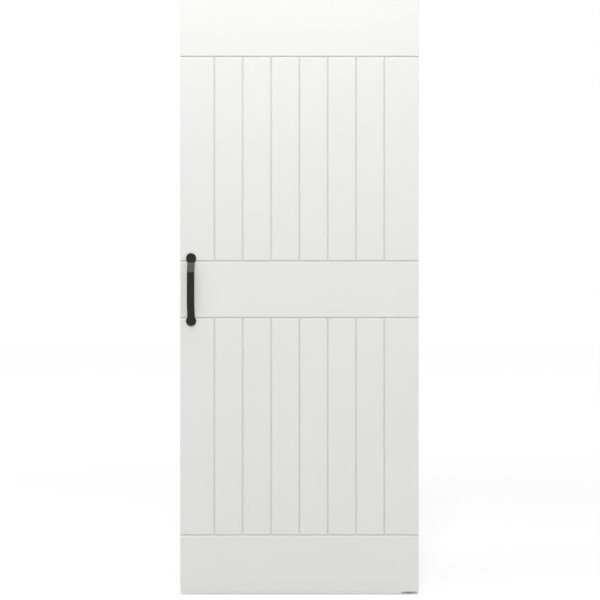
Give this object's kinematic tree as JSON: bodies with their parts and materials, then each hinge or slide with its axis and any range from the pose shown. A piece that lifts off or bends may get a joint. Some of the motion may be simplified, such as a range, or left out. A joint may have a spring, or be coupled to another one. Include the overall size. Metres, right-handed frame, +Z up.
{
  "type": "sliding door",
  "caption": "Sliding barn door: a white V-grooved leaf with a black pull handle, hung by grooved wheels from a flat wall track with end stops and a floor guide.",
  "frame": {"origin": "on the floor at the centre of the floor guide's two screws, under the middle track bolt, in the middle of the leaf's thickness", "axes": "+X to the right along the wall as seen from the room, the way the leaf opens; +Y towards the wall; +Z up"},
  "size_m": [1.8, 0.147, 2.1958],
  "materials": {
    "white_paint": "satin white paint on machined board",
    "timber": "timber frame, painted white where it shows at the leaf's edges",
    "chipboard": "raw tubular chipboard",
    "black_steel": "matt black powder coat",
    "bare_steel": "zinc plated steel",
    "wheel_nylon": "moulded black nylon",
    "guide_nylon": "moulded white nylon",
    "rubber": "black rubber"
  },
  "bodies": {
    "frame": {"track": "black_steel", "track_spacer_1": "black_steel", "track_spacer_2": "black_steel", "track_spacer_3": "black_steel", "track_spacer_4": "black_steel", "track_spacer_5": "black_steel", "wall_bolts": "black_steel", "wall_washers": "black_steel", "left_stop_block": "black_steel", "left_stop_bumper": "rubber", "right_stop_block": "black_steel", "right_stop_bumper": "rubber", "stop_screws": "bare_steel", "floor_guide": "guide_nylon", "floor_guide_screws": "bare_steel"},
    "leaf": {"front_face_board": "white_paint", "back_face_board": "white_paint", "left_stile": "timber", "right_stile": "timber", "top_rail": "timber", "cross_rail": "timber", "bottom_rail": "timber", "upper_core": "chipboard", "lower_core": "chipboard", "pull_handle": "black_steel", "handle_screws": "black_steel", "hanger_screws": "black_steel", "anti_jump_screws": "black_steel", "left_hanger": "black_steel", "left_axle_bolt": "black_steel", "left_axle_sleeve": "bare_steel", "left_axle_washer": "bare_steel", "left_axle_nut": "bare_steel", "left_bearing_inner_ring": "bare_steel", "left_anti_jump_disc": "black_steel", "right_hanger": "black_steel", "right_axle_bolt": "black_steel", "right_axle_sleeve": "bare_steel", "right_axle_washer": "bare_steel", "right_axle_nut": "bare_steel", "right_bearing_inner_ring": "bare_steel", "right_anti_jump_disc": "black_steel"},
    "left_roller": {"left_wheel": "wheel_nylon", "left_bearing_outer_ring": "bare_steel", "left_bearing_balls": "bare_steel", "left_bearing_seals": "rubber"},
    "right_roller": {"right_wheel": "wheel_nylon", "right_bearing_outer_ring": "bare_steel", "right_bearing_balls": "bare_steel", "right_bearing_seals": "rubber"}
  },
  "joints": [
    {"name": "leaf_slide", "type": "slide", "parent": "frame", "child": "leaf", "axis": [1, 0, 0], "range_m": [0, 0.76]},
    {"name": "left_wheel_spin", "type": "hinge", "parent": "leaf", "child": "left_roller", "pos_m": [-0.68, 0, 2.1313], "axis": [0, 1, 0], "continuous": true},
    {"name": "right_wheel_spin", "type": "hinge", "parent": "leaf", "child": "right_roller", "pos_m": [-0.08, 0, 2.1313], "axis": [0, 1, 0], "continuous": true}
  ],
  "couplings": [
    {"joint": "left_wheel_spin", "follows": "leaf_slide", "rad_per_m": 32.258},
    {"joint": "right_wheel_spin", "follows": "leaf_slide", "rad_per_m": 32.258}
  ]
}
